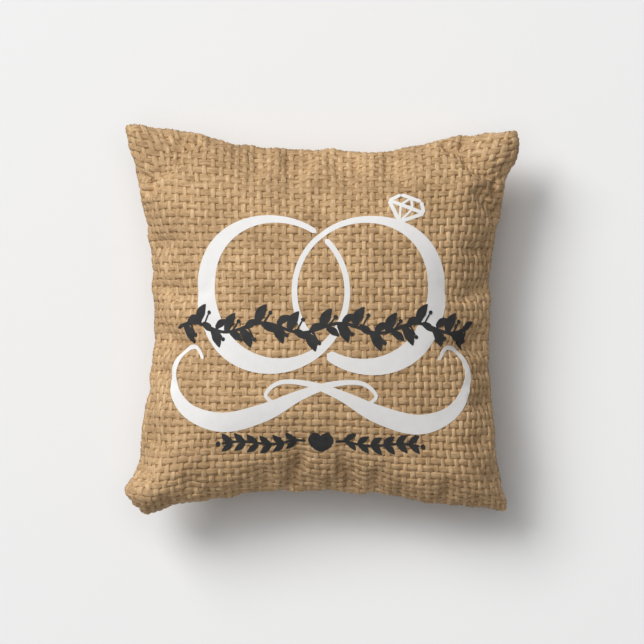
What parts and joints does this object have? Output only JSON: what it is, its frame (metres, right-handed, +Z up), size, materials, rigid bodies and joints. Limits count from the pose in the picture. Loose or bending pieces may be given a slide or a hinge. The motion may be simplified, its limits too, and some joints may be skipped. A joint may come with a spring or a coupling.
{
  "type": "ring bearer pillow",
  "caption": "Small square plump ring pillow with a woven zipped cover, printed ornaments and a separate filled inner case.",
  "frame": {"origin": "middle of the flat patch on the back panel that the pillow rests on", "axes": "+Z up out of the front face, +X along the zipped edge, and the zip on the -Y side"},
  "size_m": [0.2, 0.2, 0.0767],
  "materials": {
    "cover": "matte",
    "thread": "matte",
    "tape": "matte",
    "teeth": "satin",
    "slider": "satin",
    "case": "matte",
    "case_thread": "matte",
    "filling": "matte",
    "white_print": "satin",
    "dark_print": "satin"
  },
  "bodies": {
    "pillow": {"front_panel": "cover", "back_panel": "cover", "seam_stitching": "thread", "zip_tape_front": "tape", "zip_tape_back": "tape", "zip_teeth_front": "teeth", "zip_teeth_back": "teeth", "zip_top_stops": "teeth", "zip_bottom_stop": "teeth", "zip_stitching_front": "thread", "zip_stitching_back": "thread", "insert_front": "case", "insert_back": "case", "insert_stitching": "case_thread", "fibre_fill": "filling", "print_rings": "white_print", "print_vine": "dark_print", "print_garland": "dark_print"},
    "slider": {"zip_slider": "slider"},
    "pull_tab": {"zip_pull_tab": "slider"}
  },
  "joints": [
    {"name": "zip_travel", "type": "hinge", "parent": "pillow", "child": "slider", "pos_m": [0, -0.44314, 0.0285], "axis": [0, 0, 1], "range_deg": [0, 16.6], "deforming": ["zip_teeth_front", "zip_teeth_back"]},
    {"name": "tab_swing", "type": "hinge", "parent": "slider", "child": "pull_tab", "pos_m": [0.05359, -0.08457, 0.0269], "axis": [-0.095, -0.6357, 0.766], "range_deg": [0, 180]}
  ]
}
